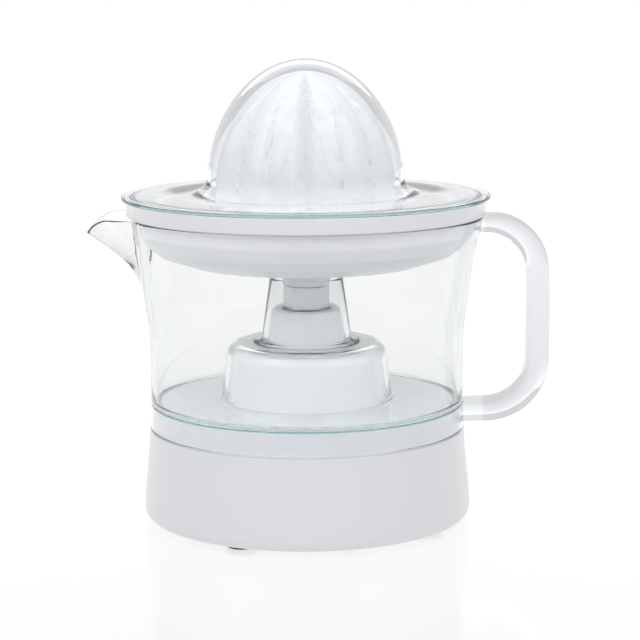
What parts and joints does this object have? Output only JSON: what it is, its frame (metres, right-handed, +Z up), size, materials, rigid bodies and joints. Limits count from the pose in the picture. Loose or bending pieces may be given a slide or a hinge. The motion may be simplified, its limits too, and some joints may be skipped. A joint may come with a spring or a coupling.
{
  "type": "citrus press",
  "caption": "Electric citrus press: round motor base, clear jug with spout and bar handle, strainer, ribbed reaming cone and clear domed dust cover.",
  "frame": {"origin": "the point on the table plane under the spindle's axis", "axes": "+Z up along the spindle, +X towards the jug's handle, -X towards its spout, +Y to the back where the mains lead enters"},
  "size_m": [0.1786, 0.142, 0.1789],
  "materials": {
    "white_abs": "satin-gloss moulded ABS",
    "grey_abs": "fine matt moulded ABS",
    "rubber_black": "matt",
    "gland_white": "satin flexible plastic",
    "steel": "turned",
    "dark_steel": "blackened",
    "laminations": "varnished sheet stack",
    "zinc_plate": "zinc plated",
    "bobbin_nylon": "satin nylon",
    "copper_winding": "enamelled wire with varnish",
    "bronze": "sintered, oily",
    "ferrite": "matt ceramic",
    "acetal": "satin acetal",
    "gearbox_plastic": "satin moulded",
    "switch_black": "fine matt",
    "button_red": "gloss",
    "spindle_plastic": "satin moulded",
    "clear_jug": "clear polished moulded plastic",
    "strainer_white": "satin-gloss moulded",
    "cone_white": "gloss moulded",
    "clear_cover": "clear polished moulded plastic"
  },
  "bodies": {
    "base": {"base_housing": "white_abs", "bottom_cover": "grey_abs", "feet": "rubber_black", "bottom_cover_screws": "steel", "cord_gland": "gland_white", "cord_clamp": "grey_abs", "cord_clamp_screws": "steel", "stator_core": "laminations", "coil_bobbin": "bobbin_nylon", "coil_winding": "copper_winding", "motor_bracket": "zinc_plate", "motor_screws": "dark_steel", "rotor_bearings": "bronze", "gearbox_plate": "gearbox_plastic", "gearbox_cover": "gearbox_plastic", "gearbox_screws": "steel", "gear_axles": "steel", "gear_bushes": "bronze", "upper_bush": "bronze", "shaft_seal": "rubber_black", "microswitch_body": "switch_black", "switch_screws": "steel", "lever_pin": "steel"},
    "rotor": {"rotor_magnet": "ferrite", "rotor_shaft": "steel", "rotor_pinion": "acetal"},
    "gear_one": {"gear_one": "acetal"},
    "gear_two": {"gear_two": "acetal"},
    "output_gear": {"output_gear": "acetal"},
    "spindle": {"spindle_shaft": "steel", "return_spring": "steel", "retaining_clip": "dark_steel", "drive_spindle": "spindle_plastic"},
    "switch_lever": {"switch_lever": "acetal"},
    "switch_button": {"microswitch_button": "button_red"},
    "jug": {"jug": "clear_jug"},
    "strainer": {"strainer": "strainer_white"},
    "stem_ring": {"wiper_ring": "rubber_black"},
    "cone": {"cone": "cone_white"},
    "cover": {"dust_cover": "clear_cover"}
  },
  "joints": [
    {"name": "drive_spin", "type": "hinge", "parent": "base", "child": "output_gear", "pos_m": [0, 0, 0.038], "axis": [0, 0, 1], "continuous": true},
    {"name": "gear_two_spin", "type": "hinge", "parent": "base", "child": "gear_two", "pos_m": [-0.00216, 0.02691, 0.033], "axis": [0, 0, 1], "continuous": true},
    {"name": "gear_one_spin", "type": "hinge", "parent": "base", "child": "gear_one", "pos_m": [-0.02583, 0.02292, 0.028], "axis": [0, 0, 1], "continuous": true},
    {"name": "rotor_spin", "type": "hinge", "parent": "base", "child": "rotor", "pos_m": [-0.024, 0.002, 0.015], "axis": [0, 0, 1], "continuous": true},
    {"name": "spindle_press", "type": "slide", "parent": "output_gear", "child": "spindle", "axis": [0, 0, 1], "range_m": [-0.002, 0], "stiffness_N_per_m": 800, "springref_m": 0.004, "deforming": ["return_spring"]},
    {"name": "lever_tilt", "type": "hinge", "parent": "base", "child": "switch_lever", "pos_m": [0.044, 0, 0.0195], "axis": [0, 1, 0], "range_deg": [-2.7, 0]},
    {"name": "button_press", "type": "slide", "parent": "base", "child": "switch_button", "axis": [0, 0, 1], "range_m": [-0.0008, 0]},
    {"name": "jug_lift", "type": "slide", "parent": "base", "child": "jug", "axis": [0, 0, 1], "range_m": [0, 0.13]},
    {"name": "strainer_lift", "type": "slide", "parent": "jug", "child": "strainer", "axis": [0, 0, 1], "range_m": [0, 0.09]},
    {"name": "cone_press", "type": "slide", "parent": "strainer", "child": "stem_ring", "axis": [0, 0, 1], "range_m": [-0.002, 0]},
    {"name": "cone_spin", "type": "hinge", "parent": "stem_ring", "child": "cone", "pos_m": [0, 0, 0.11], "axis": [0, 0, 1], "continuous": true},
    {"name": "cover_lift", "type": "slide", "parent": "strainer", "child": "cover", "axis": [0, 0, 1], "range_m": [0, 0.1]}
  ],
  "couplings": [
    {"joint": "gear_two_spin", "follows": "drive_spin", "ratio": -3.5},
    {"joint": "gear_one_spin", "follows": "drive_spin", "ratio": 14},
    {"joint": "rotor_spin", "follows": "drive_spin", "ratio": -56},
    {"joint": "cone_spin", "follows": "drive_spin", "ratio": 1},
    {"joint": "cone_press", "follows": "spindle_press", "ratio": 1},
    {"joint": "lever_tilt", "follows": "spindle_press", "rad_per_m": 22.727},
    {"joint": "button_press", "follows": "spindle_press", "ratio": 0.3636}
  ]
}
